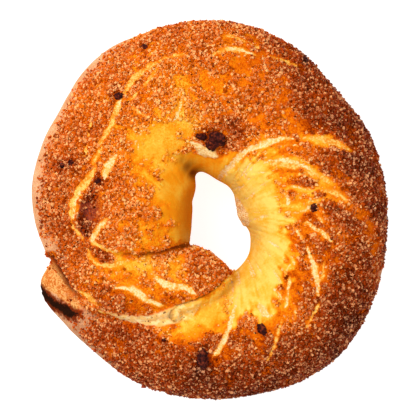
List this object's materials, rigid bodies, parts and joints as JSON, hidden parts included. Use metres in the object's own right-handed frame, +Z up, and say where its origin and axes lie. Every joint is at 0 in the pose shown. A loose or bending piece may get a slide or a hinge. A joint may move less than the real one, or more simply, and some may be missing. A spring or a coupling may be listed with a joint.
{
  "type": "cinnamon sugar bagel",
  "caption": "Hand-rolled ring of baked bread with overlapping rope ends and a small off-centre hole, crusted with cinnamon sugar, resting on a flat base.",
  "frame": {"origin": "middle of the footprint, on the surface that the bagel rests on", "axes": "+Z up through the hole, +Y along the longest side, the tail of the rope's first end at low x and low y"},
  "size_m": [0.1136, 0.1206, 0.0412],
  "materials": {
    "crust": "baked bread crust with a low gloss, golden round the hole and dark cinnamon brown at the rim",
    "sugar": "glossy crystals of cinnamon sugar, 0.4 to 0.8 mm across",
    "cinnamon": "dark, rough cinnamon chips and grains"
  },
  "bodies": {
    "root": {"bagel": "crust"}
  },
  "joints": []
}
